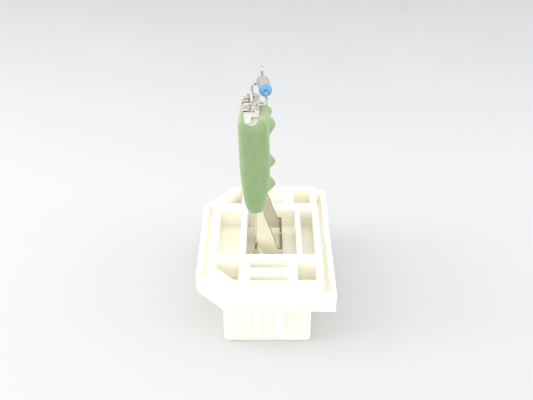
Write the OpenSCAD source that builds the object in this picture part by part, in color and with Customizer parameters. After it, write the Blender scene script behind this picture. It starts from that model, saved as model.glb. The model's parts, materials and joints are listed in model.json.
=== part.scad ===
// Blower-speed resistor for a car heater: a moulded plug-in housing with four
// blade terminals, carrying a cement-coated ceramic resistor element and a
// thermal cutoff. It stands on the mouth of its plug socket: z = 0 is that
// mouth, +Z runs along the element, -Y is the end with the finger ribs.

/* [Housing] */
// Flange width across the object
flange_w = 45; // [44:0.5:50]
// Flange length along the object
flange_l = 60; // [59:0.5:66]
// Height of the flange's outer rim
flange_h = 7; // [6.5:0.1:8]
// Corner chamfer on the two left corners of the flange
flange_chamfer = 10; // [8:0.5:10.5]
// Height of the duct seat, the flange's top face, above the socket mouth
seat_z = 20.3; // [20:0.1:22]
// Width of the raised box that fills the duct's cut-out
box_w = 37.2; // [36.8:0.1:37.4]
// Length of the raised box
box_l = 55.8; // [55:0.1:56]
// Height of the raised box above the seat
box_rise = 3.2; // [2.5:0.1:4]
// Corner chamfer on the two left corners of the raised box
box_chamfer = 8.2; // [7:0.1:8.6]
// Depth of the cells and pockets below the top of the raised box
cell_depth = 7.6; // [7:0.1:7.8]
// Length of the terminal cells
cell_l = 26.2; // [25:0.1:27]
// Width of the rail groove along each long side
groove_w = 2.2; // [1.5:0.1:2.4]
// Depth of the rail grooves
groove_depth = 3; // [1:0.5:4]

/* [Plug socket] */
// Width of the socket shroud
shroud_w = 28.1; // [26:0.1:29]
// Sideways offset of the shroud from the flange's middle
shroud_x = 0.65; // [0:0.05:1]
// Wall of the shroud
shroud_wall = 2.6; // [1.8:0.1:3]
// Thickness of the floor that holds the terminals
web = 2; // [1.5:0.1:2.2]
// Spacing of the four finger ribs
rib_pitch = 3.4; // [3:0.1:3.6]
// How far the finger ribs stand out
rib_out = 0.5; // [0.2:0.1:0.5]
// Width of the two keys inside the socket
key_w = 1.2; // [0.8:0.1:2]
// How far the keys stand into the socket
key_out = 0.9; // [0.5:0.1:1]

/* [Terminals] */
// Sheet thickness of the stamped terminals
sheet = 0.8; // [0.6:0.1:0.8]
// Width of each blade
blade_w = 6.3; // [4.8:0.1:6.3]
// Height of the blade tips above the socket mouth
blade_tip_z = 3.5; // [2:0.5:6]
// Width of each terminal's shoulder
shoulder_w = 8.65; // [8:0.05:8.8]
// Height of the shoulders' top edge
shoulder_z = 22.5; // [21:0.5:23]
// Height of the side edge where the slanted arms begin
arm_z = 25.7; // [25:0.1:27]

/* [Resistor element] */
// Thickness of the ceramic core
core_t = 5.1; // [5:0.1:5.4]
// Width of the ceramic core
core_w = 20.4; // [20:0.1:20.8]
// Height of the ceramic core
core_h = 31.6; // [31:0.1:33]
// Height of the core's foot above the socket mouth
core_z = 39.2; // [38.5:0.1:40]
// Lean of the element towards the left, in degrees
lean = 2.4; // [0:0.1:2.5]
// Thickness of the resistance ribbon
ribbon_t = 0.4; // [0.3:0.05:0.4]
// Width of the resistance ribbon
ribbon_w = 0.9; // [0.6:0.1:1]
// Distance from one turn to the next
turn_pitch = 1.6; // [1.4:0.1:1.7]
// Depth of the coated element from its front edge to its back edge
coat_w = 23; // [22.6:0.1:24]
// Greatest thickness of the coated element left of the core's middle
coat_left = 4.15; // [4:0.05:4.6]
// Greatest thickness of the coated element right of the core's middle
coat_right = 5.2; // [4.9:0.05:5.4]

/* [Thermal cutoff] */
// Outer diameter of the cutoff's case
case_d = 4; // [3.9:0.1:4.2]
// Length of the cutoff's case
case_l = 11.5; // [11.5:0.1:12]
// Diameter of the cutoff's leads
lead_d = 0.8; // [0.7:0.1:1]
// Travel of the contact stack when the cutoff trips
trip_travel = 1; // [0.6:0.1:1]

/* [Hidden] */
$fn = 48;
gap = 0.05;                              // play between pieces that only touch
wire_bend = 0.9;                         // how far before a corner a wire starts to bend
wire_sides = 10;
deck_z = seat_z + box_rise;              // top of the raised box
floor_z = deck_z - cell_depth;           // floor of the cells and pockets
flange_z = seat_z - flange_h;            // underside of the flange
shroud_y0 = -flange_l / 2 + 0.5;         // front face of the shroud
shroud_y1 = 12;                          // back face of the shroud
socket_y0 = -12.6;
socket_y1 = shroud_y1 - 2;
rib_x = -6.8;                            // left edge of the first finger rib
rib_w = 1.8;                             // width of each finger rib
key_y = [-7, 4.4];                       // middle of each key in the socket
left_groove_l = 42;                      // the left groove ends short of the chamfers
right_x = 4.95;                          // inner face of the right-hand terminals
left_x = -3.6;                           // outer face of the left-hand terminals
end_y = 9.2;                             // outer face of the slanted arms
blade_y = end_y - shoulder_w / 2;        // middle of each blade
core_x = -3;                             // middle of the element's foot
slot_h = 4;                              // depth of the leg slots in the core
corner_cut = [0.9, 1.35];                // cuts on the core's rear corners, left and right
leg_top = core_z + slot_h - 0.4;
coat_low = 1.3;                          // coating below the core's foot
coat_top = core_h - 0.3;                 // the core's top stays bare
coat_foot = 2;                           // half thickness of the coating's lower end
ribbon_x = core_t / 2 + gap;
ribbon_y = core_w / 2 + gap;
winding_z = [4.2, 12.6, 21];             // lower edge of each winding on the core
turns = [4, 4, 3];
splice_r = 0.8;
splice_x = ribbon_x + ribbon_t + gap + splice_r;
splice_at = [[-5, 28], [4, 27.6], [-5, 6.4], [4, 9.6]]; // [y, z] on the core
lump_r = 3.1;
lump_x = 3.4;                            // middle of each lump over a splice
clip_y = [-1.4, 5];                      // middle of each clip
clip_w = 3.8;
clip_t = 0.5;
clip_reach = 5;                          // how far a clip reaches down the core's side
case_wall = 0.3;
front_pos = [0.1, 2.7, 75.2];            // middle of the cutoff's sealed end
case_tilt = 10.6;
case_yaw = 5;
case_dir = [sin(case_yaw) * cos(case_tilt), -cos(case_yaw) * cos(case_tilt), sin(case_tilt)];
rear_pos = front_pos - case_l * case_dir;
stack_z = 3.1;                           // contact stack begins here inside the case
lead_out = front_pos + 3 * case_dir;     // where the front lead turns down
lead_back = rear_pos - 1.4 * case_dir;   // where the rear lead turns up
front_route = [lead_out, [lead_out[0], -1.2, 71.9], [-3.6, -1.2, 71.9], [-3.6, -5.6, 71.8]];
rear_route = [lead_back, lead_back + [0, 0.3, 76.8 - lead_back[2]], [-1, 17.4, 76.8],
              [-1.2, 16.9, 71.6], [-4.5, 13.2, 71.7], [-4.3, 1.6, 71.9]];

// ---------- helpers ----------

// A rectangle with its two left corners chamfered, centred on the origin
module plan(w, l, c) {
  polygon([
    [-w / 2 + c, -l / 2], [w / 2, -l / 2], [w / 2, l / 2],
    [-w / 2 + c, l / 2], [-w / 2, l / 2 - c], [-w / 2, -l / 2 + c]
  ]);
}

// A box given by its low and high corners
module block(low, high) {
  translate(low) cube(high - low);
}

// A flat piece whose outline is in X and Z, from y0 to y0 + t
module upright(y0, t) {
  translate([0, y0 + t, 0]) rotate([90, 0, 0]) linear_extrude(t) children();
}

// A flat piece whose outline is in Y and Z, from x0 to x0 + t
module sideways(x0, t) {
  translate([x0, 0, 0]) rotate([90, 0, 90]) linear_extrude(t) children();
}

// A vector's direction
function unit(v) = v / norm(v);

// Points round the bend at b, on the way from a to c
function bend_at(a, b, c) =
  let (reach = min(wire_bend, 0.45 * norm(a - b), 0.45 * norm(c - b)),
       start = b + reach * unit(a - b), end = b + reach * unit(c - b))
  [for (t = [0:0.2:1]) start * (1 - t) * (1 - t) + 2 * b * t * (1 - t) + end * t * t];

// A route's points with each corner rounded
function rounded(p) =
  [p[0], for (i = [1:len(p) - 2]) each bend_at(p[i - 1], p[i], p[i + 1]), p[len(p) - 1]];

// Sideways directions along a route, each turned as little as possible from the one before
function carried(directions, side, i = 0) = i == len(directions) ? [] :
  let (next = unit(side - directions[i] * (side * directions[i])))
  concat([next], carried(directions, next, i + 1));

// Round wire through a list of corners
module wire(corners, r) {
  p = rounded(corners);
  last = len(p) - 1;
  along = [for (i = [0:last]) unit(p[min(i + 1, last)] - p[max(i - 1, 0)])];
  side = carried(along, unit(cross(along[0], [0.3, 0.2, 1])));
  polyhedron(
    points = [for (i = [0:last], k = [0:wire_sides - 1])
      p[i] + r * (cos(360 * k / wire_sides) * side[i]
                + sin(360 * k / wire_sides) * cross(along[i], side[i]))],
    faces = [
      [for (k = [0:wire_sides - 1]) k],
      for (i = [0:last - 1], k = [0:wire_sides - 1]) let (n = (k + 1) % wire_sides)
        [i * wire_sides + k, (i + 1) * wire_sides + k, (i + 1) * wire_sides + n, i * wire_sides + n],
      [for (k = [wire_sides - 1:-1:0]) last * wire_sides + k]
    ]);
}

// Puts the element's own frame in place: z = 0 is the core's foot
module on_core() {
  translate([core_x, 0, core_z]) rotate([0, -lean, 0]) children();
}

// Puts the cutoff's own frame in place: z = 0 is the closed end of its case
module in_cutoff() {
  translate(rear_pos) rotate([90 - case_tilt, 0, case_yaw]) children();
}

// ---------- housing ----------

// The plug socket's shroud with its finger ribs
module shroud() {
  x0 = shroud_x - shroud_w / 2;
  x1 = shroud_x + shroud_w / 2;
  c = 1.2;
  upright(shroud_y0, shroud_y1 - shroud_y0)
    polygon([[x0 + c, 0], [x1 - c, 0], [x1, c], [x1, flange_z + 1], [x0, flange_z + 1], [x0, c]]);
  for (i = [0:3])
    block([rib_x + i * rib_pitch, shroud_y0 - rib_out, 4.2],
          [rib_x + i * rib_pitch + rib_w, shroud_y0 + 1, flange_z + 1]);
}

// The cavities that open at the socket's mouth
module shroud_cavities() {
  x0 = shroud_x - shroud_w / 2 + shroud_wall;
  x1 = shroud_x + shroud_w / 2 - shroud_wall;
  block([x0, socket_y0, -1], [x1, socket_y1, floor_z - web]);
  block([x0, shroud_y0 + shroud_wall, -1], [x1, socket_y0 - 2, flange_z - 1.5]);
  // shallow panel beside the finger ribs
  block([6.1, shroud_y0 - 1, 1.6], [12.4, shroud_y0 + 0.6, flange_z]);
}

// Two ribs on the socket's left wall that stop a plug going in the wrong way round
module plug_keys() {
  x = shroud_x - shroud_w / 2 + shroud_wall;
  for (y = key_y)
    block([x - 0.1, y - key_w / 2, 1], [x + key_out, y + key_w / 2, floor_z - web + 0.1]);
}

// Cells around the terminals, with the two long ribs left standing
module cells() {
  for (x = [[-16.2, -8.4], [-6.4, 10.6], [12.2, 16.8]])
    block([x[0], -cell_l / 2, floor_z], [x[1], cell_l / 2, deck_z + 1]);
}

// Pockets at one end of the raised box
module end_pockets() {
  y0 = -box_l / 2 + 1.3;
  y1 = -cell_l / 2 - 3.4;
  translate([0, 0, floor_z]) linear_extrude(cell_depth + 1) intersection() {
    plan(box_w - 3, box_l - 2.6, box_chamfer - 0.8);
    union() {
      translate([-16.2, y0]) square([7.8, y1 - y0]);
      translate([-5, y0]) square([12.1, 3.3]);
      translate([-5, y1 - 3.7]) square([12.1, 3.7]);
      translate([10.3, y0]) square([6.3, y1 - y0]);
    }
  }
}

// Slots that the terminal blades are pushed through
module blade_slots() {
  for (x = [left_x, right_x], s = [-1, 1])
    block([x - gap, s * blade_y - blade_w / 2 - gap, floor_z - web - 1],
          [x + sheet + gap, s * blade_y + blade_w / 2 + gap, floor_z + 1]);
}

// The housing without the keys in its socket
module moulding() {
  difference() {
    union() {
      translate([0, 0, flange_z]) linear_extrude(flange_h) plan(flange_w, flange_l, flange_chamfer);
      translate([0, 0, seat_z - 1]) linear_extrude(box_rise + 1) plan(box_w, box_l, box_chamfer);
      shroud();
    }
    shroud_cavities();
    cells();
    end_pockets();
    mirror([0, 1, 0]) end_pockets();
    blade_slots();
    block([box_w / 2, -box_l / 2, seat_z - groove_depth],
          [box_w / 2 + groove_w, box_l / 2, seat_z + 1]);
    block([-box_w / 2 - groove_w, -left_groove_l / 2, seat_z - groove_depth],
          [-box_w / 2, left_groove_l / 2, seat_z + 1]);
  }
}

module housing() {
  color("ivory") {
    moulding();
    plug_keys();
  }
}

// ---------- terminals ----------

// The part of a terminal that stands in the housing: shoulder and chamfered blade
module blade(x) {
  w = blade_w / 2;
  s = shoulder_w / 2;
  z = floor_z + gap;
  sideways(x, sheet) translate([-blade_y, 0]) polygon([
    [-w + 1.2, blade_tip_z], [w - 1.2, blade_tip_z], [w, blade_tip_z + 1.8], [w, z],
    [s, z], [s, shoulder_z], [-s, shoulder_z], [-s, z], [-w, z], [-w, blade_tip_z + 1.8]
  ]);
}

// Right-hand terminal at the front: the arm is folded across and slants up to the core
module right_terminal() {
  blade(right_x);
  upright(-end_y, sheet) polygon([
    [0.6, shoulder_z - 4.1], [right_x + sheet, shoulder_z - 4.1], [right_x + sheet, shoulder_z],
    [4.3, shoulder_z], [-0.4, 36.7], [-0.4, core_z - 0.3], [-1.3, core_z - 0.3],
    [-1.3, leg_top], [-2.7, leg_top], [-2.7, core_z - 0.3], [-2.9, core_z - 0.3], [-2.9, arm_z]
  ]);
}

// Left-hand terminal at the front: the leg runs straight up to the core
module left_terminal() {
  blade(left_x);
  sideways(left_x, sheet)
    polygon([[-6.8, shoulder_z - 1], [-4, shoulder_z - 1], [-4, core_z - 0.3],
             [-4.6, core_z - 0.3], [-4.6, leg_top], [-6.2, leg_top],
             [-6.2, core_z - 0.3], [-6.8, core_z - 0.3]]);
}

module terminal_front_right() { color("gainsboro") right_terminal(); }
module terminal_rear_right() { color("gainsboro") mirror([0, 1, 0]) right_terminal(); }
module terminal_front_left() { color("gainsboro") left_terminal(); }
module terminal_rear_left() { color("gainsboro") mirror([0, 1, 0]) left_terminal(); }

// ---------- resistor element ----------

// Slots in the core's foot for the terminals' legs
module leg_slots() {
  for (s = [-1, 1]) {
    block([-0.1, s * (end_y - sheet / 2) - 0.7, -1], [2.1, s * (end_y - sheet / 2) + 0.7, slot_h]);
    block([-1, s * 5.4 - 1.1, -1], [0.6, s * 5.4 + 1.1, slot_h]);
  }
}

module ceramic_core() {
  color("white") on_core() difference() {
    block([-core_t / 2, -core_w / 2, 0], [core_t / 2, core_w / 2, core_h]);
    leg_slots();
    // two blind holes and the front step of the bare top
    translate([-1, 8.6, core_h - 8]) cylinder(d = 1.1, h = 9);
    translate([0.8, 7, core_h - 8]) cylinder(d = 1.1, h = 9);
    block([0, -core_w / 2 - 1, core_h - 0.7], [core_t, -core_w / 2 + 3.6, core_h + 1]);
    for (x = [-1, 1], y = [-1, 1])
      translate([x * core_t / 2, y * core_w / 2, -1]) rotate([0, 0, 45])
        block([-0.35, -0.35, 0], [0.35, 0.35, core_h + 2]);
    // the two rear corners of the bare top are cut away
    for (i = [0, 1])
      translate([(i - 0.5) * core_t, core_w / 2, core_h - 3]) rotate([0, 0, 45])
        block([-corner_cut[i], -corner_cut[i], 0], [corner_cut[i], corner_cut[i], 4]);
  }
}

// Flat ribbon wound round the core; each turn climbs on the left face
module winding(z0, n) {
  x = ribbon_x + ribbon_t;
  y = ribbon_y + ribbon_t;
  for (k = [0:n]) {
    z = z0 + k * turn_pitch;
    block([-x, -y, z], [x, -ribbon_y, z + ribbon_w]);
    if (k > 0) {
      block([-x, ribbon_y, z], [x, y, z + ribbon_w]);
      block([ribbon_x, -y, z], [x, y, z + ribbon_w]);
      sideways(-x, ribbon_t) polygon([
        [-y, z - turn_pitch], [y, z], [y, z + ribbon_w], [-y, z - turn_pitch + ribbon_w]
      ]);
    }
  }
}

module winding_low() { color("dimgray") on_core() winding(winding_z[0], turns[0]); }
module winding_middle() { color("dimgray") on_core() winding(winding_z[1], turns[1]); }
module winding_high() { color("dimgray") on_core() winding(winding_z[2], turns[2]); }

// Crimped sleeves that join the ribbon's ends and taps, one under each lump
module splice_sleeves() {
  color("silver") on_core() for (p = splice_at) translate([splice_x, p[0], p[1] - 2]) difference() {
    cylinder(r = splice_r, h = 4);
    translate([0, 0, -1]) cylinder(r = 0.45, h = 6);
  }
}

// Thickness of the coating on one side of the core's middle at height z: it swells
// from its lower end to its full thickness over a rise, and rounds off at the top
function coat_side(z, full, rise, power) =
  let (low = 1 - min((z + coat_low) / rise, 1), high = max(z - coat_top + 2, 0) / 2)
  coat_foot + (full - coat_foot) * (1 - pow(low, power)) - 0.7 * pow(high, 3);

// The coating's outline seen from the front
module coat_front() {
  steps = 20;
  step = (coat_top + coat_low) / steps;
  polygon([
    for (i = [0:steps]) let (z = i * step - coat_low) [coat_side(z, coat_right, 17, 1.7), z],
    for (i = [steps:-1:0]) let (z = i * step - coat_low) [-coat_side(z, coat_left, 14.5, 3), z]
  ]);
}

// A rectangle with round corners, centred on the origin
module round_plan(w, l, r) {
  square([w - 2 * r, l], center = true);
  square([w, l - 2 * r], center = true);
  for (x = [-1, 1], y = [-1, 1]) translate([x * (w / 2 - r), y * (l / 2 - r)]) circle(r = r);
}

// Everything the coating closes round
module coat_cavity() {
  x = ribbon_x + ribbon_t + gap;
  y = ribbon_y + ribbon_t + gap;
  block([-core_t / 2 - gap, -core_w / 2 - gap, -gap], [core_t / 2 + gap, core_w / 2 + gap, core_h + 1]);
  block([-x, -y, winding_z[0] - 0.2], [x, y, winding_z[2] + turns[2] * turn_pitch + ribbon_w + 0.2]);
  for (p = splice_at) translate([splice_x, p[0], p[1] - 2.1]) cylinder(r = splice_r + gap, h = 4.2);
  // ways in for the terminals' legs
  for (s = [-1, 1]) {
    block([-0.3, s * (end_y - sheet / 2) - 0.5, -5], [2.9, s * (end_y - sheet / 2) + 0.5, 1]);
    block([-0.9, s * 5.4 - 1.5, -5], [0.5, s * 5.4 + 1.5, 1]);
  }
  // ways in for the two clips
  for (y = clip_y)
    block([-4.5, y - clip_w / 2 - 0.1, core_h - clip_reach - 0.4], [0, y + clip_w / 2 + 0.1, core_h + 1]);
}

module cement_coating() {
  color("darkseagreen") on_core() difference() {
    union() {
      intersection() {
        upright(-coat_w / 2 - 1, coat_w + 2) coat_front();
        translate([(coat_right - coat_left) / 2, 0, -5])
          linear_extrude(core_h + 10) round_plan(coat_left + coat_right + 0.2, coat_w, 2.4);
      }
      for (p = splice_at) translate([lump_x, p[0], p[1]]) sphere(r = lump_r);
    }
    coat_cavity();
    // bare patch on the front lip of the core
    upright(-coat_w / 2 - 1, 3)
      polygon([[-2.4, coat_top + 1], [-2.2, coat_top], [0.1, core_h - 1.4],
               [2.6, coat_top], [2.8, coat_top + 1]]);
  }
}

// ---------- clips that hold the cutoff ----------

// A steel strip folded over the core's top from the left
module clip(y) {
  x = -core_t / 2 - gap;
  top = core_h + gap + clip_t;
  on_core() {
    block([x - clip_t, y - clip_w / 2, core_h - clip_reach], [x, y + clip_w / 2, top]);
    block([x - clip_t, y - clip_w / 2, core_h + gap], [0.1, y + clip_w / 2, top]);
  }
}

module fuse_clip_front() { color("silver") clip(clip_y[0]); }
module fuse_clip_rear() { color("silver") clip(clip_y[1]); }

// ---------- thermal cutoff, modelled along its own axis ----------

module cutoff_case() {
  r = case_d / 2;
  color("darkgray") in_cutoff() rotate_extrude() polygon([
    [0.55, 0], [r - 0.5, 0], [r, 0.5], [r, case_l - 0.4], [r - 0.3, case_l],
    [r - case_wall - 0.15, case_l], [r - case_wall, case_l - 0.5], [r - case_wall, 0.6], [0.55, 0.6]
  ]);
}

// A closed coil drawn as evenly spaced rings joined by short struts
module ring_spring(z0, z1, r, wire_r, n) {
  step = (z1 - z0 - 2 * wire_r) / (n - 1);
  for (i = [0:n - 1]) translate([0, 0, z0 + wire_r + i * step])
    rotate_extrude() translate([r, 0]) circle(r = wire_r, $fn = 16);
  for (i = [0:n - 2]) rotate([0, 0, 150 * i]) translate([r, 0, z0 + wire_r + i * step])
    cylinder(r = wire_r * 0.7, h = step, $fn = 16);
}

module cutoff_pellet() {
  color("wheat") in_cutoff() translate([0, 0, 0.65]) cylinder(d = 3.2, h = stack_z - 0.7);
}

module cutoff_pellet_disc() {
  color("goldenrod") in_cutoff() translate([0, 0, stack_z]) cylinder(d = 3.2, h = 0.3);
}

module cutoff_main_spring() {
  color("dimgray") in_cutoff() ring_spring(stack_z + 0.35, stack_z + 2.75, 1.25, 0.2, 5);
}

module cutoff_contact_disc() {
  color("goldenrod") in_cutoff() translate([0, 0, stack_z + 2.8]) cylinder(d = 3.2, h = 0.3);
}

// Sprung disc with six toes that wipe the inside of the case
module cutoff_star_contact() {
  color("silver") in_cutoff() translate([0, 0, stack_z + 3.15]) {
    cylinder(d = 2.2, h = 0.25);
    for (i = [0:5]) rotate([0, 0, 60 * i]) block([0, -0.4, 0], [1.62, 0.4, 0.25]);
  }
}

module cutoff_trip_spring() {
  color("dimgray") in_cutoff() ring_spring(stack_z + 3.5, stack_z + 4.8, 1.25, 0.15, 4);
}

module cutoff_bushing() {
  color("white") in_cutoff() difference() {
    translate([0, 0, stack_z + 4.85]) cylinder(d = 3.3, h = 2.45);
    cylinder(r = lead_d / 2 + 0.05, h = case_l);
  }
}

// Lead from the sealed end: down and across to the front clip, with its contact head inside
module cutoff_isolated_lead() {
  head_z = stack_z + 3.45;
  head_h = 0.5;
  color("silver") {
    in_cutoff() translate([0, 0, head_z]) cylinder(d = 1.6, h = head_h);
    wire([rear_pos + (head_z + head_h + gap / 2) * case_dir, each front_route], lead_d / 2);
  }
}

// Resin plug that fills the case's open end and bulges out over its rim
module cutoff_seal() {
  color("deepskyblue") in_cutoff() difference() {
    rotate_extrude() polygon([
      [0, stack_z + 7.35], [case_d / 2 - case_wall - 0.05, stack_z + 7.35],
      [case_d / 2 - case_wall - 0.05, case_l - 0.6], [case_d / 2 - case_wall - 0.2, case_l - 0.1],
      [case_d / 2 - case_wall - 0.2, case_l + gap], [case_d / 2 + 0.1, case_l + gap],
      [case_d / 2, case_l + 0.25], [1.3, case_l + 0.45], [0.7, case_l + 0.65], [0, case_l + 0.75]
    ]);
    cylinder(r = lead_d / 2 + 0.02, h = case_l + 3);
  }
}

// Lead from the closed end: up and over behind the case, then forward on to the rear clip
module cutoff_case_lead() {
  color("silver") wire([rear_pos + 0.4 * case_dir, each rear_route], lead_d / 2);
}

housing();
terminal_front_right();
terminal_rear_right();
terminal_front_left();
terminal_rear_left();
ceramic_core();
winding_low();
winding_middle();
winding_high();
splice_sleeves();
cement_coating();
fuse_clip_front();
fuse_clip_rear();
cutoff_case();
cutoff_case_lead();
cutoff_pellet();
cutoff_pellet_disc();
cutoff_main_spring();
cutoff_contact_disc();
cutoff_star_contact();
cutoff_trip_spring();
cutoff_bushing();
cutoff_isolated_lead();
cutoff_seal();
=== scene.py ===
import json
import math
from functools import lru_cache

import bmesh
import bpy
from mathutils import Matrix, Vector, noise

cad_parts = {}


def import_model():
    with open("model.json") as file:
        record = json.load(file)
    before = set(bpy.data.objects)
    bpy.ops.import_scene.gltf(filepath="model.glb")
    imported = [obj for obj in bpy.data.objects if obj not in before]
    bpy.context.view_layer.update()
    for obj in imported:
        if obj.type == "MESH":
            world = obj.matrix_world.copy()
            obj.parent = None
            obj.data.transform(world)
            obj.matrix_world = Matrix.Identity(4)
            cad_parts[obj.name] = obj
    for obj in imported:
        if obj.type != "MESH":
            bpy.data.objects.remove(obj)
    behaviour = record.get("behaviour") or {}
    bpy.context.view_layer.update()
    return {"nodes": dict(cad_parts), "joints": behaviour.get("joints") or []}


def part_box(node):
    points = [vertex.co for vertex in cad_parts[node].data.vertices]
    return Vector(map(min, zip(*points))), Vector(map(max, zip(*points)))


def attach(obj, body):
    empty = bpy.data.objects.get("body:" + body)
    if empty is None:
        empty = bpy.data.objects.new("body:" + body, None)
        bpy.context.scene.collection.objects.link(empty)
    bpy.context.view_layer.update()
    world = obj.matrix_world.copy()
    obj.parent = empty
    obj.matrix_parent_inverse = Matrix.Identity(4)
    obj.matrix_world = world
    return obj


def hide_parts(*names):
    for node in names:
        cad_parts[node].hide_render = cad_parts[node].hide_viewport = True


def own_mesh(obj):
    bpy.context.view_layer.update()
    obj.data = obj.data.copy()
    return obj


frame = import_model()
NODES = frame["nodes"]

# ---------------------------------------------------------------- sizes, in mm

MM = 0.001                    # one millimetre, in metres
LEAN = math.radians(2.4)      # the resistor element leans to the left
CORE_T = 5.1                  # the ceramic core's thickness
CORE_W = 20.4                 # its width
CORE_H = 31.6                 # and its height
COAT_LOW = 1.3                # the coating reaches this far below the core's foot
COAT_FOOT = 2.5               # half its thickness there
COAT_LEFT = 4.15              # its greatest thickness left of the core's middle
COAT_RIGHT = 5.15             # and right of it
COAT_DEPTH = 11.4             # from its middle to its front and back edges
COAT_FOOT_R = 0.8             # radius round its lower edge
LIP_RISE = 2.4                # height over which it turns in to the core at the top
LEAD_R = 0.4                  # radius of the cutoff's leads
LEAD_BEND = 0.9               # how far before a corner their bends start
STRIP_T = 0.5                 # thickness of the strips that hold the leads
STRIP_REACH = 5               # how far they reach down the core's side
CASE_HALF = 5.75              # half the length of the cutoff's case
PELLET_R = 1.6                # radius of the pellet inside it
PELLET_HALF = 1.2             # and half its length

# Lumps over the splices: place along Y, height on the core, how far out, radius
LUMPS = [
    (-5.0, 28.0, 2.1, 3.4),
    (4.0, 28.3, 1.6, 2.6),
    (4.0, 9.4, 2.1, 2.5),
    (-5.0, 6.3, 2.4, 2.7),
]


def middle(node):
    """The middle of a CAD node's box, in mm."""
    low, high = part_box(node)
    return (low + high) / 2 / MM


# The core's own frame, in mm: z = 0 is its foot and x = y = 0 its middle
CORE = (Matrix.Scale(MM, 4) @ Matrix.Translation(middle("ceramic_core"))
        @ Matrix.Rotation(-LEAN, 4, "Y") @ Matrix.Translation((0, 0, -CORE_H / 2)))
# The thermal cutoff's axis, pointing out of its sealed end
CUTOFF_AXIS = -Vector(frame["joints"][0]["axis"])


# ---------------------------------------------------------------- materials


def rgb(red, green, blue):
    """A screen colour from 0 to 255 as the linear colour that shaders take."""
    linear = [((c / 255 + 0.055) / 1.055) ** 2.4 if c > 10 else c / 3295 for c in (red, green, blue)]
    return (*linear, 1.0)


class Finish:
    """A Principled material with short ways to add the nodes that vary it. Lengths are in mm."""

    def __init__(self, name, **sockets):
        self.material = bpy.data.materials.new(name)
        self.material.use_nodes = True
        self.nodes = self.material.node_tree.nodes
        self.links = self.material.node_tree.links
        self.shader = self.nodes["Principled BSDF"]
        self.coordinates = self.nodes.new("ShaderNodeTexCoord")
        self.place = self.add("ShaderNodeVectorMath", "Vector", operation="SCALE",
                              Vector=self.coordinates.outputs["Object"], Scale=1 / MM)
        self.normal = None
        for socket, value in sockets.items():
            self.shader.inputs[socket.replace("_", " ")].default_value = value

    def add(self, kind, output, operation=None, **inputs):
        """Adds a node, fills or links its inputs by name or number, and gives one of its outputs."""
        node = self.nodes.new(kind)
        if operation:
            node.operation = operation
        for key, value in inputs.items():
            socket = node.inputs[int(key[1:]) if key[1:].isdigit() else key.replace("_", " ")]
            if isinstance(value, bpy.types.NodeSocket):
                self.links.new(value, socket)
            else:
                socket.default_value = value
        return node.outputs[output]

    def stretched(self, size, stretch):
        """The place divided by a grain size that may differ along X, Y and Z."""
        return self.add("ShaderNodeVectorMath", "Vector", operation="MULTIPLY", i0=self.place,
                        i1=[1 / (size * s) for s in stretch])

    def noise(self, size, detail=3.0, stretch=(1, 1, 1)):
        """Soft noise of a given grain size, from about 0.3 to 0.7."""
        return self.add("ShaderNodeTexNoise", "Fac", Vector=self.stretched(size, stretch),
                        Scale=1.0, Detail=detail, Roughness=0.55)

    def specks(self, spacing, radius, stretch=(1, 1, 1)):
        """1 inside small round specks and 0 between them."""
        place = self.stretched(spacing, stretch)
        distance = self.add("ShaderNodeTexVoronoi", "Distance", Scale=1.0, Vector=place)
        return self.spread(distance, radius / spacing, 0.6 * radius / spacing)

    def spread(self, value, low, high):
        """0 where a value is at low and 1 where it is at high."""
        return self.add("ShaderNodeMapRange", "Result", Value=value, From_Min=low, From_Max=high)

    def times(self, a, b):
        return self.add("ShaderNodeMath", "Value", operation="MULTIPLY", i0=a, i1=b)

    def plus(self, a, b):
        return self.add("ShaderNodeMath", "Value", operation="ADD", i0=a, i1=b)

    def axis(self, vector, name):
        """One component of a vector."""
        return self.add("ShaderNodeSeparateXYZ", name, Vector=vector)

    def facing(self, axes):
        """How squarely the surface looks along the nearer of the axes named, from 0 to 1."""
        normal = self.coordinates.outputs["Normal"]
        parts = [self.add("ShaderNodeMath", "Value", operation="ABSOLUTE", i0=self.axis(normal, a))
                 for a in axes]
        most = parts[0]
        for part in parts[1:]:
            most = self.add("ShaderNodeMath", "Value", operation="MAXIMUM", i0=most, i1=part)
        return most

    def blend(self, amount, a, b):
        """Colour a where amount is 0 and colour b where it is 1."""
        node = self.nodes.new("ShaderNodeMix")
        node.data_type = "RGBA"
        self.links.new(amount, node.inputs["Factor"])
        for socket, value in ((node.inputs[6], a), (node.inputs[7], b)):
            if isinstance(value, bpy.types.NodeSocket):
                self.links.new(value, socket)
            else:
                socket.default_value = value
        return node.outputs[2]

    def use(self, socket, value):
        """Drives one of the shader's inputs."""
        self.links.new(value, self.shader.inputs[socket])
        return self

    def roughen(self, value, low, high):
        """Roughness from low to high as a value goes from 0 to 1."""
        return self.use("Roughness", self.add("ShaderNodeMapRange", "Result", Value=value,
                                              From_Min=0.0, From_Max=1.0, To_Min=low, To_Max=high))

    def bump(self, height, depth):
        """Raises the surface by depth mm where height is 1. Bumps add up."""
        inputs = {"Height": height, "Distance": depth * MM, "Strength": 1.0}
        if self.normal is not None:
            inputs["Normal"] = self.normal
        self.normal = self.add("ShaderNodeBump", "Normal", **inputs)
        return self.use("Normal", self.normal)


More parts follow.
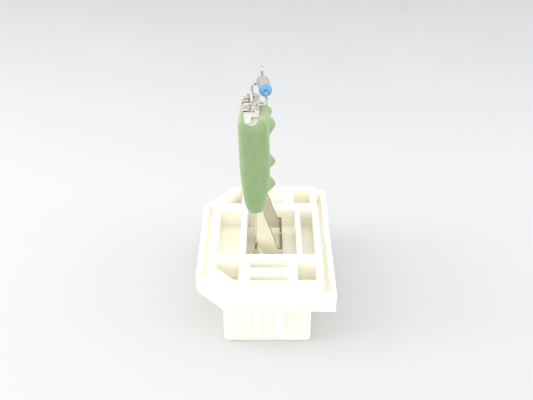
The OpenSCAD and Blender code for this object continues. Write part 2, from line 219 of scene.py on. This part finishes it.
def nylon():
    """Natural nylon: ivory, slightly see-through, with flow marks and a fine eroded grain."""
    f = Finish("nylon", Subsurface_Weight=0.8, Subsurface_Scale=2 * MM, IOR=1.53,
               Subsurface_Radius=(0.9, 0.95, 1.0))
    flow = f.noise(16, 2, (1, 1, 0.4))
    cloud = f.noise(3.5)
    tone = f.blend(f.spread(flow, 0.35, 0.65), rgb(255, 250, 233), rgb(255, 252, 240))
    dust = f.specks(5, 0.14)
    f.use("Base Color", f.blend(f.times(dust, 0.25), tone, rgb(206, 192, 160)))
    f.roughen(f.spread(cloud, 0.3, 0.7), 0.36, 0.5)
    f.bump(flow, 0.06)
    return f.bump(f.noise(0.22, 2), 0.006).material


def sheet_metal(name, bright, dull, edge, rolled, axes, cut_edge_shade_from, cut_edge_shade_to):
    """Rolled and stamped sheet: streaks along the rolled directions, scratches, and cut edges that
    are rougher and painted dark as shade. The edges start and end where the surface faces the axes
    by the two amounts."""
    f = Finish(name, Metallic=0.85)
    streaks = f.noise(0.35, 3, rolled)
    stain = f.noise(2.6, 4)
    surface = f.blend(f.spread(streaks, 0.3, 0.7), dull, bright)
    surface = f.blend(f.times(f.spread(stain, 0.56, 0.72), 0.5), surface, dull)
    # painted shade: the cut edges take the dark edge colour in place of their shade and dark
    # reflections; they are also made rougher
    cut_edge_shade = f.spread(f.facing(axes), cut_edge_shade_from, cut_edge_shade_to)
    f.use("Base Color", f.blend(cut_edge_shade, surface, edge))
    rough = f.plus(f.times(f.spread(stain, 0.35, 0.7), 0.5), f.times(cut_edge_shade, 0.5))
    f.roughen(rough, 0.38, 0.6)
    f.bump(streaks, 0.006)
    return f.bump(f.specks(1.1, 0.12, (0.4, 1, 6)), -0.01).material


def tinned_steel():
    """The terminals: their faces look along X or Y, and the cut edges any other way; these edges are
    painted dark as shade.
    """
    # the third colour is painted shade along the cut edges
    return sheet_metal("tinned_steel", rgb(238, 232, 217), rgb(231, 224, 204), rgb(128, 121, 98),
                       (1, 1, 14), "XY", 0.99, 0.96)


def clip_steel():
    """The folded strips: only their cut edges look along Y, and these are painted dark as shade.
    Their rolling streaks are painted with strong contrast as highlights and dark lines along the
    strips.
    """
    # the bright and dull streak colours are partly rolling marks and partly painted highlights and
    # dark lines; the third colour is painted shade along the cut edges
    return sheet_metal("clip_steel", rgb(240, 236, 226), rgb(150, 142, 126), rgb(62, 57, 50),
                       (14, 1, 14), "Y", 0.7, 0.9)


def steatite():
    """White fired ceramic: dull, with a sandy grain and a few pits."""
    f = Finish("steatite", Subsurface_Weight=0.12, Subsurface_Scale=1.2 * MM, IOR=1.6)
    cloud = f.noise(2.4, 4)
    pits = f.specks(2.2, 0.16)
    tone = f.blend(f.spread(cloud, 0.35, 0.65), rgb(199, 196, 184), rgb(212, 210, 199))
    f.use("Base Color", f.blend(f.times(pits, 0.5), tone, rgb(176, 168, 148)))
    f.roughen(f.spread(cloud, 0.3, 0.7), 0.5, 0.68)
    f.bump(f.noise(0.3, 3), 0.012)
    return f.bump(pits, -0.05).material


def silicone_cement():
    """Green cement: matt and sandy, mottled, with pale grit towards its lower end."""
    f = Finish("silicone_cement", Sheen_Weight=0.4, Sheen_Roughness=0.4, IOR=1.5)
    mottle = f.noise(3.2, 4)
    grain = f.noise(0.32, 3)
    tone = f.blend(f.spread(mottle, 0.3, 0.7), rgb(131, 157, 106), rgb(141, 167, 116))
    tone = f.blend(f.times(f.spread(grain, 0.4, 0.7), 0.35), tone, rgb(168, 191, 150))
    height = f.axis(f.place, "Z")
    low_down = f.plus(f.times(f.spread(height, 66, 42), 0.75), 0.1)
    patches = f.times(f.spread(f.noise(5, 2), 0.42, 0.6), low_down)
    grit = f.times(f.specks(1.25, 0.26), patches)
    f.use("Base Color", f.blend(grit, tone, rgb(208, 221, 197)))
    f.roughen(f.spread(grain, 0.3, 0.7), 0.6, 0.8)
    f.bump(mottle, 0.12)
    f.bump(grain, 0.035)
    return f.bump(grit, 0.06).material


def plated_brass():
    """Plated case of the cutoff: satin, drawn lengthwise, with a few handling marks."""
    f = Finish("plated_brass", Metallic=1.0)
    drawn = f.noise(0.28, 3, (1, 16, 1))
    cloud = f.noise(2.2, 3)
    f.use("Base Color", f.blend(f.spread(cloud, 0.3, 0.7), rgb(175, 171, 164), rgb(196, 193, 186)))
    f.roughen(f.spread(drawn, 0.3, 0.7), 0.34, 0.5)
    f.bump(drawn, 0.004)
    return f.bump(f.specks(1.6, 0.1, (1, 4, 1)), -0.008).material


def wire_metal(name, bright, dull, low, high):
    """Wire and small turned or stamped metal parts: bright, with duller patches."""
    f = Finish(name, Metallic=1.0)
    patches = f.noise(1.5, 3)
    f.use("Base Color", f.blend(f.spread(patches, 0.4, 0.68), bright, dull))
    f.roughen(f.spread(patches, 0.3, 0.75), low, high)
    return f.bump(f.noise(0.16, 2), 0.004).material


def lead_wire():
    return wire_metal("lead_wire", rgb(226, 222, 214), rgb(118, 112, 102), 0.14, 0.32)


def resistance_ribbon():
    return wire_metal("resistance_ribbon", rgb(150, 140, 128), rgb(92, 82, 78), 0.3, 0.5)


def sleeve_steel():
    return wire_metal("sleeve_steel", rgb(196, 194, 190), rgb(140, 134, 126), 0.28, 0.5)


def spring_steel():
    return wire_metal("spring_steel", rgb(170, 170, 172), rgb(110, 108, 108), 0.22, 0.4)


def brass_disc():
    return wire_metal("brass_disc", rgb(214, 180, 108), rgb(168, 132, 74), 0.25, 0.45)


def silver_contact():
    return wire_metal("silver_contact", rgb(238, 237, 234), rgb(190, 186, 178), 0.14, 0.3)


def epoxy():
    """Blue sealing resin: glossy, a little see-through, cloudy."""
    f = Finish("epoxy", Subsurface_Weight=0.4, Subsurface_Scale=0.8 * MM, Coat_Weight=0.4,
               Coat_Roughness=0.12, IOR=1.55)
    cloud = f.noise(0.9, 3)
    f.use("Base Color", f.blend(f.spread(cloud, 0.35, 0.65), rgb(86, 161, 209), rgb(118, 184, 221)))
    f.roughen(f.spread(cloud, 0.3, 0.7), 0.26, 0.4)
    return f.bump(f.noise(0.5, 2), 0.02).material


def powdery(name, dark, light, grain):
    """A pressed powder part, such as the cutoff's pellet or its ceramic bushing."""
    f = Finish(name, Subsurface_Weight=0.1, Subsurface_Scale=0.4 * MM)
    cloud = f.noise(grain, 4)
    f.use("Base Color", f.blend(f.spread(cloud, 0.35, 0.65), dark, light))
    f.roughen(f.spread(cloud, 0.3, 0.7), 0.5, 0.7)
    return f.bump(cloud, 0.02).material


def pellet_wax():
    return powdery("pellet_wax", rgb(208, 190, 150), rgb(226, 210, 176), 0.5)


def bushing_ceramic():
    return powdery("bushing_ceramic", rgb(226, 222, 210), rgb(244, 242, 234), 0.35)


FINISHES = {make.__name__: make() for make in (
    nylon, tinned_steel, clip_steel, steatite, silicone_cement, plated_brass, lead_wire,
    resistance_ribbon, sleeve_steel, spring_steel, brass_disc, silver_contact, epoxy,
    pellet_wax, bushing_ceramic)}

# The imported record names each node's slot, and each slot has its finish
for cad_node in NODES.values():
    slot_name = cad_node.material_slots[0].material.name.split(".")[0]
    cad_node.material_slots[0].material = FINISHES[slot_name]


# ---------------------------------------------------------------- mesh helpers


def new_piece(name, mesh_data, slot, *replaced):
    """Makes a smooth-shaded piece on the root body that takes its finish from a slot."""
    mesh_data.normal_update()
    mesh = bpy.data.meshes.new(name)
    mesh_data.to_mesh(mesh)
    mesh_data.free()
    for face in mesh.polygons:
        face.use_smooth = True
    piece = bpy.data.objects.new(name, mesh)
    bpy.context.scene.collection.objects.link(piece)
    mesh.materials.append(FINISHES[slot])
    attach(piece, "root")
    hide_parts(*replaced)
    return piece


def loft(rings):
    """A closed mesh through rings that all have as many points, with a cap on each end."""
    made = bmesh.new()
    rows = [[made.verts.new(point) for point in ring] for ring in rings]
    count = len(rows[0])
    for low, high in zip(rows, rows[1:]):
        for i in range(count):
            j = (i + 1) % count
            made.faces.new((low[i], low[j], high[j], high[i]))
    made.faces.new(rows[0][::-1])
    made.faces.new(rows[-1])
    bmesh.ops.recalc_face_normals(made, faces=made.faces)
    return made


def smooth_step(t):
    """A smooth rise from 0 at t = 0 to 1 at t = 1."""
    t = min(max(t, 0.0), 1.0)
    return t * t * (3 - 2 * t)


# ---------------------------------------------------------------- the cement coating


def rounded_rectangle(left, right, half_w, radius):
    """Points anticlockwise round a rectangle with round corners, from the middle of its right
    side. It always gives as many points, so two of them can be lofted together."""
    long_count = 72
    short_count = 14
    corner_count = 12
    radius = min(radius, half_w, (left + right) / 2)
    x0 = -left + radius
    x1 = right - radius
    y1 = half_w - radius
    points = []

    def side(start, end, count):
        for i in range(count):
            points.append(Vector(start).lerp(Vector(end), i / count))

    def corner(x, y, first):
        for i in range(corner_count):
            angle = math.radians(first + 90 * i / corner_count)
            points.append(Vector((x + radius * math.cos(angle), y + radius * math.sin(angle))))

    side((right, 0), (right, y1), long_count // 2)
    corner(x1, y1, 0)
    side((x1, half_w), (x0, half_w), short_count)
    corner(x0, y1, 90)
    side((-left, y1), (-left, -y1), long_count)
    corner(x0, -y1, 180)
    side((x0, -half_w), (x1, -half_w), short_count)
    corner(x1, -y1, 270)
    side((right, -y1), (right, 0), long_count // 2)
    return points


def coat_side(z, full, rise, power):
    """Thickness of the coating on one side of the core's middle, swelling upwards from its foot."""
    low = 1 - min((z + COAT_LOW) / rise, 1)
    return COAT_FOOT + (full - COAT_FOOT) * (1 - low ** power)


@lru_cache(maxsize=None)
def coat_section(z, inset=0.0):
    """The coating's outline at height z, drawn in by an inset."""
    left = coat_side(z, COAT_LEFT, 14.5, 3) - inset
    right = coat_side(z, COAT_RIGHT, 17, 1.7) - inset
    depth = COAT_DEPTH - 0.5 * (1 - smooth_step((z + COAT_LOW) / 6)) - inset
    return rounded_rectangle(max(left, 0.02), max(right, 0.02), depth, 2.2 - 0.5 * inset)


def coat_outside(index, z, edge):
    """A point of the outline, which thins out towards the back near the top."""
    outer = coat_section(round(z, 2))[index]
    if outer.x > 0:
        thinned = 0.5 * smooth_step(outer.y / 8) * smooth_step((z - 24) / 6)
    else:
        thinned = 0.45 * smooth_step((outer.y + 8) / 17) * smooth_step((z - 23) / 6)
    return Vector((outer.x + (edge.x - outer.x) * thinned, outer.y))


def coat_edge():
    """Where the coating's lip ends on the core: it laps over the front corners."""
    points = rounded_rectangle(CORE_T / 2, CORE_T / 2, CORE_W / 2, 1.5)
    for point in points:
        if point.x < 0:
            point.x += 0.25 * (1 - smooth_step((point.y + 9) / 4.5))
    return points


def lip_height(x, y):
    """Height of the lip's end: lowest in a notch at the front, highest at the front corners."""
    level = CORE_H - 0.25 + 0.2 * noise.noise((x * 0.35, y * 0.35, 7.0))
    if y < -CORE_W / 2 + 1.5:
        across = min(abs(x - 0.15) / 2.1, 1.0)
        return level - 1.15 + 1.75 * across ** 1.7
    level += 0.6 * (1 - smooth_step((y + (5 if x < 0 else 8.7)) / 3.5))
    return level - 3.0 * smooth_step((y - 2) / 6)


def lump(y, z):
    """How far the coating stands out over the splices on its right side."""
    out = 0.0
    for place, height, rise, radius in LUMPS:
        distance = math.hypot(y - place, z - height) / radius
        out = max(out, rise * (1 - smooth_step(distance / 1.25)) ** 0.9)
    return out


def coat_rings():
    """The cement as rings of points: across its foot, up its outside and over the lip."""
    rings = []
    for inset in (2.4, 2.0, 1.6, 1.2, COAT_FOOT_R):
        rings.append([(p.x, p.y, -COAT_LOW) for p in coat_section(-COAT_LOW, inset)])
    for i in range(1, 7):
        angle = math.radians(15 * i)
        z = -COAT_LOW + COAT_FOOT_R * (1 - math.cos(angle))
        inset = COAT_FOOT_R * (1 - math.sin(angle))
        rings.append([(p.x, p.y, z) for p in coat_section(z, inset)])
    edge = coat_edge()
    lips = [lip_height(p.x, p.y) for p in edge]
    wall_low = -COAT_LOW + COAT_FOOT_R
    steps = 92
    for i in range(1, steps + 1):
        ring = []
        for index, end in enumerate(edge):
            z = wall_low + (lips[index] - LIP_RISE - wall_low) * i / steps
            outer = coat_outside(index, z, end)
            ring.append((outer.x, outer.y, z))
        rings.append(ring)
    # the lip turns in to the core along a quarter ellipse
    for i in range(1, 13):
        angle = math.radians(90 * i / 12)
        ring = []
        for index, end in enumerate(edge):
            wall_top = lips[index] - LIP_RISE
            point = end.lerp(coat_outside(index, wall_top, end), max(math.cos(angle), 0.0) ** 0.8)
            ring.append((point.x, point.y, wall_top + LIP_RISE * math.sin(angle)))
        rings.append(ring)
    return rings


def make_coating():
    """The coating as one closed skin, with its lumps and an uneven surface."""
    rings = coat_rings()
    shown = len(rings)
    # inside, the skin runs down just within the core's own surface
    inside = rounded_rectangle(CORE_T / 2 - 0.1, CORE_T / 2 - 0.1, CORE_W / 2 - 0.1, 0.3)
    for z in (CORE_H - 3, 3.0):
        rings.append([(p.x, p.y, z) for p in inside])
    made = loft(rings)
    made.normal_update()
    for index, vertex in enumerate(made.verts):
        row = index // len(inside)
        if row >= shown - 1:
            break
        normal = vertex.normal.copy()
        x, y, z = vertex.co
        if normal.x > 0.3 and row > 8:
            vertex.co.x += lump(y, z) * smooth_step((normal.x - 0.3) / 0.5)
        swell = 0.2 * noise.noise((x * 0.16, y * 0.16, z * 0.16))
        swell += 0.05 * noise.noise((x, y * 0.8, z * 0.8))
        vertex.co += normal * swell * smooth_step((shown - 1 - row) / 10)
    made.transform(CORE)
    return new_piece("coating", made, "silicone_cement", "cement_coating")


# ---------------------------------------------------------------- leads, strips and pellet


def rounded_path(corners, bend):
    """Points along straight runs joined by round bends, leaving out any that all but coincide."""
    shortest = 0.03
    points = [Vector(corners[0])]
    for before, corner, after in zip(corners, corners[1:], corners[2:]):
        corner = Vector(corner)
        back = Vector(before) - corner
        ahead = Vector(after) - corner
        reach = min(bend, 0.49 * back.length, 0.49 * ahead.length)
        start = corner + back.normalized() * reach
        end = corner + ahead.normalized() * reach
        for i in range(9):
            t = i / 8
            points.append(start * (1 - t) ** 2 + corner * 2 * t * (1 - t) + end * t ** 2)
    points.append(Vector(corners[-1]))
    return [p for i, p in enumerate(points) if i == 0 or (p - points[i - 1]).length > shortest]


def frames_along(points):
    """A place and two crosswise directions at each point, turning as little as they can."""
    tangents = [(points[min(i + 1, len(points) - 1)] - points[max(i - 1, 0)]).normalized()
                for i in range(len(points))]
    side = tangents[0].orthogonal().normalized()
    frames = []
    for point, tangent in zip(points, tangents):
        side = (side - tangent * side.dot(tangent)).normalized()
        frames.append((point, side, tangent.cross(side)))
    return frames


def circle(centre, side, up, radius, count):
    """Points round a circle that side and up span."""
    angles = [2 * math.pi * i / count for i in range(count)]
    return [centre + (side * math.cos(a) + up * math.sin(a)) * radius for a in angles]


def shrunk(ring, centre, share):
    """A ring drawn in towards its centre, to round off an end."""
    return [point.lerp(centre, 1 - share) for point in ring]


def make_wire(name, corners, flat_end, *replaced):
    """Round wire along a route, its last flat_end mm pressed a little flat for the weld."""
    points = rounded_path(corners, LEAD_BEND)
    left = sum((b - a).length for a, b in zip(points, points[1:]))
    rings = []
    previous = points[0]
    for point, side, up in frames_along(points):
        left -= (point - previous).length
        previous = point
        press = 1 - smooth_step(left / flat_end)
        ring = circle(Vector((0, 0, 0)), side, up, LEAD_R, 20)
        squeeze = Vector((1 + 0.1 * press, 1, 1 - 0.3 * press))
        rings.append([point + offset * squeeze for offset in ring])
    rings = [shrunk(rings[0], points[0], 0.75), *rings, shrunk(rings[-1], points[-1], 0.7)]
    made = loft(rings)
    made.transform(Matrix.Scale(MM, 4))
    return new_piece(name, made, "lead_wire", *replaced)


def strip_ring(place, out, y0, y1):
    """A strip's cross-section: a crease along its middle and a raised rear half."""
    count = 40
    top = []
    bottom = []
    for k in range(count + 1):
        along = k / count
        point = Vector((place.x, y0 + (y1 - y0) * along, place.z))
        edge = 0.12 * abs(2 * along - 1) ** 8
        fold = 0.18 * smooth_step((along - 0.5) / 0.1)
        crease = 0.42 * math.exp(-((along - 0.46) / 0.05) ** 2)
        top.append(point + out * (STRIP_T / 2 + fold - crease - edge))
        bottom.append(point - out * (STRIP_T / 2 - edge))
    return top + bottom[::-1]


def make_strip(name, node):
    """A steel strip folded over the core's top from the left."""
    low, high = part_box(node)
    x = -CORE_T / 2 - 0.05 - STRIP_T / 2
    z = CORE_H + 0.05 + STRIP_T / 2
    centre = rounded_path([(x, 0, z - STRIP_REACH), (x, 0, z), (0.1, 0, z)], 0.7)
    last = len(centre) - 1
    rings = []
    for i, place in enumerate(centre):
        along = (centre[min(i + 1, last)] - centre[max(i - 1, 0)]).normalized()
        out = Vector((-along.z, 0, along.x))
        rings.append(strip_ring(place, out, low.y / MM, high.y / MM))
    made = loft(rings)
    made.transform(CORE)
    return new_piece(name, made, "clip_steel", node)


def make_pellet():
    """The cutoff's pellet, built at its full length. In the real part it melts and shortens as the
    contact stack trips.
    """
    centre = middle("cutoff_pellet")
    side = CUTOFF_AXIS.orthogonal().normalized()
    up = CUTOFF_AXIS.cross(side)
    bevel = 0.1
    half = PELLET_HALF
    outline = [(-half, 0.9), (-half, PELLET_R - bevel), (-half + bevel, PELLET_R),
               (half - bevel, PELLET_R), (half, PELLET_R - bevel), (half, 0.9)]
    rings = [circle(centre + CUTOFF_AXIS * along, side, up, radius, 32)
             for along, radius in outline]
    made = loft(rings)
    made.transform(Matrix.Scale(MM, 4))
    piece = new_piece("pellet", made, "pellet_wax", "cutoff_pellet")
    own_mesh(piece)


def make_leads():
    """The cutoff's two leads, from the ends of its case to the strips."""
    case_middle = middle("cutoff_case")
    sealed_end = case_middle + CUTOFF_AXIS * CASE_HALF
    closed_end = case_middle - CUTOFF_AXIS * CASE_HALF
    inside = sealed_end - CUTOFF_AXIS * 4
    out = sealed_end + CUTOFF_AXIS * 3
    make_wire("lead_front", [inside, out, (out.x, -1.2, 71.9), (-3.6, -1.2, 72.0),
                             (-3.6, -5.6, 72.0)], 3.0, "cutoff_isolated_lead")
    inside = closed_end + CUTOFF_AXIS * 0.4
    out = closed_end - CUTOFF_AXIS * 1.4
    make_wire("lead_rear", [inside, out, (out.x, out.y + 0.3, 76.8), (-1, 17.4, 76.8),
                            (-1.2, 16.9, 71.6), (-4.4, 13.2, 71.9), (-4.0, 0.9, 72.1)],
              3.0, "cutoff_case_lead")


def soften(node, radius, segments=2):
    """Rounds a CAD node's sharp edges a little, as moulding or stamping does."""
    obj = NODES[node]
    obj.modifiers.new("weld", "WELD").merge_threshold = 1e-6
    flat = obj.modifiers.new("flat", "DECIMATE")
    flat.decimate_type = "DISSOLVE"
    flat.angle_limit = math.radians(0.5)
    bevel = obj.modifiers.new("bevel", "BEVEL")
    bevel.width = radius * MM
    bevel.segments = segments
    bevel.limit_method = "ANGLE"
    bevel.angle_limit = math.radians(30)
    bevel.harden_normals = True


soften("housing", 0.28, 3)
soften("ceramic_core", 0.15)
for place in ("front_right", "rear_right", "front_left", "rear_left"):
    soften(f"terminal_{place}", 0.1)
make_coating()
make_pellet()
make_strip("strip_front", "fuse_clip_front")
make_strip("strip_rear", "fuse_clip_rear")
make_leads()


# ---------------------------------------------------------------- stage, lights and camera


def floor():
    """A flat sheet of pale paper, darker towards the back where the lamps' falloff is painted in."""
    made = bmesh.new()
    bmesh.ops.create_grid(made, x_segments=40, y_segments=40, size=2.0)
    mesh = bpy.data.meshes.new("floor")
    made.to_mesh(mesh)
    made.free()
    plane = bpy.data.objects.new("floor", mesh)
    plane.location.z = -0.02 * MM
    bpy.context.scene.collection.objects.link(plane)
    f = Finish("paper", Roughness=0.9)
    # painted shade: the paper darkens towards the back in place of the lamps' falloff
    distance = f.spread(f.axis(f.place, "Y"), 60, 320)
    tone = f.blend(distance, rgb(198, 198, 199), rgb(170, 171, 172))
    f.use("Base Color", f.blend(f.times(f.noise(60, 3), 0.5), tone, rgb(195, 195, 195)))
    f.bump(f.noise(0.6, 3), 0.01)
    mesh.materials.append(f.material)


def area_light(name, place, size, power):
    """A square white softbox aimed at the middle of the object."""
    data = bpy.data.lights.new(name, "AREA")
    data.shape = "SQUARE"
    data.size = size
    data.energy = power
    lamp = bpy.data.objects.new(name, data)
    lamp.location = place
    aim = Vector((0, 0, 0.03)) - Vector(place)
    lamp.rotation_euler = aim.to_track_quat("-Z", "Y").to_euler()
    bpy.context.scene.collection.objects.link(lamp)


def world():
    """Even white room light."""
    surround = bpy.data.worlds.new("studio")
    surround.use_nodes = True
    background = surround.node_tree.nodes["Background"]
    background.inputs["Color"].default_value = (0.99, 0.995, 1.0, 1)
    background.inputs["Strength"].default_value = 1.3
    bpy.context.scene.world = surround


def camera():
    """The photograph's view: from in front, 34 degrees above the floor."""
    data = bpy.data.cameras.new("camera")
    data.sensor_width = 36
    data.lens = 49.04
    data.clip_start = 0.01
    view = bpy.data.objects.new("camera", data)
    view.location = (0.0004, -0.2019, 0.1723)
    view.rotation_euler = (math.radians(90 - 34), 0, 0)
    bpy.context.scene.collection.objects.link(view)
    bpy.context.scene.camera = view


floor()
world()
area_light("key", (-0.55, -0.02, 0.34), 0.5, 2.3)
area_light("fill", (0.58, -0.02, 0.34), 0.6, 1.2)
camera()
bpy.context.scene.view_settings.view_transform = "Standard"
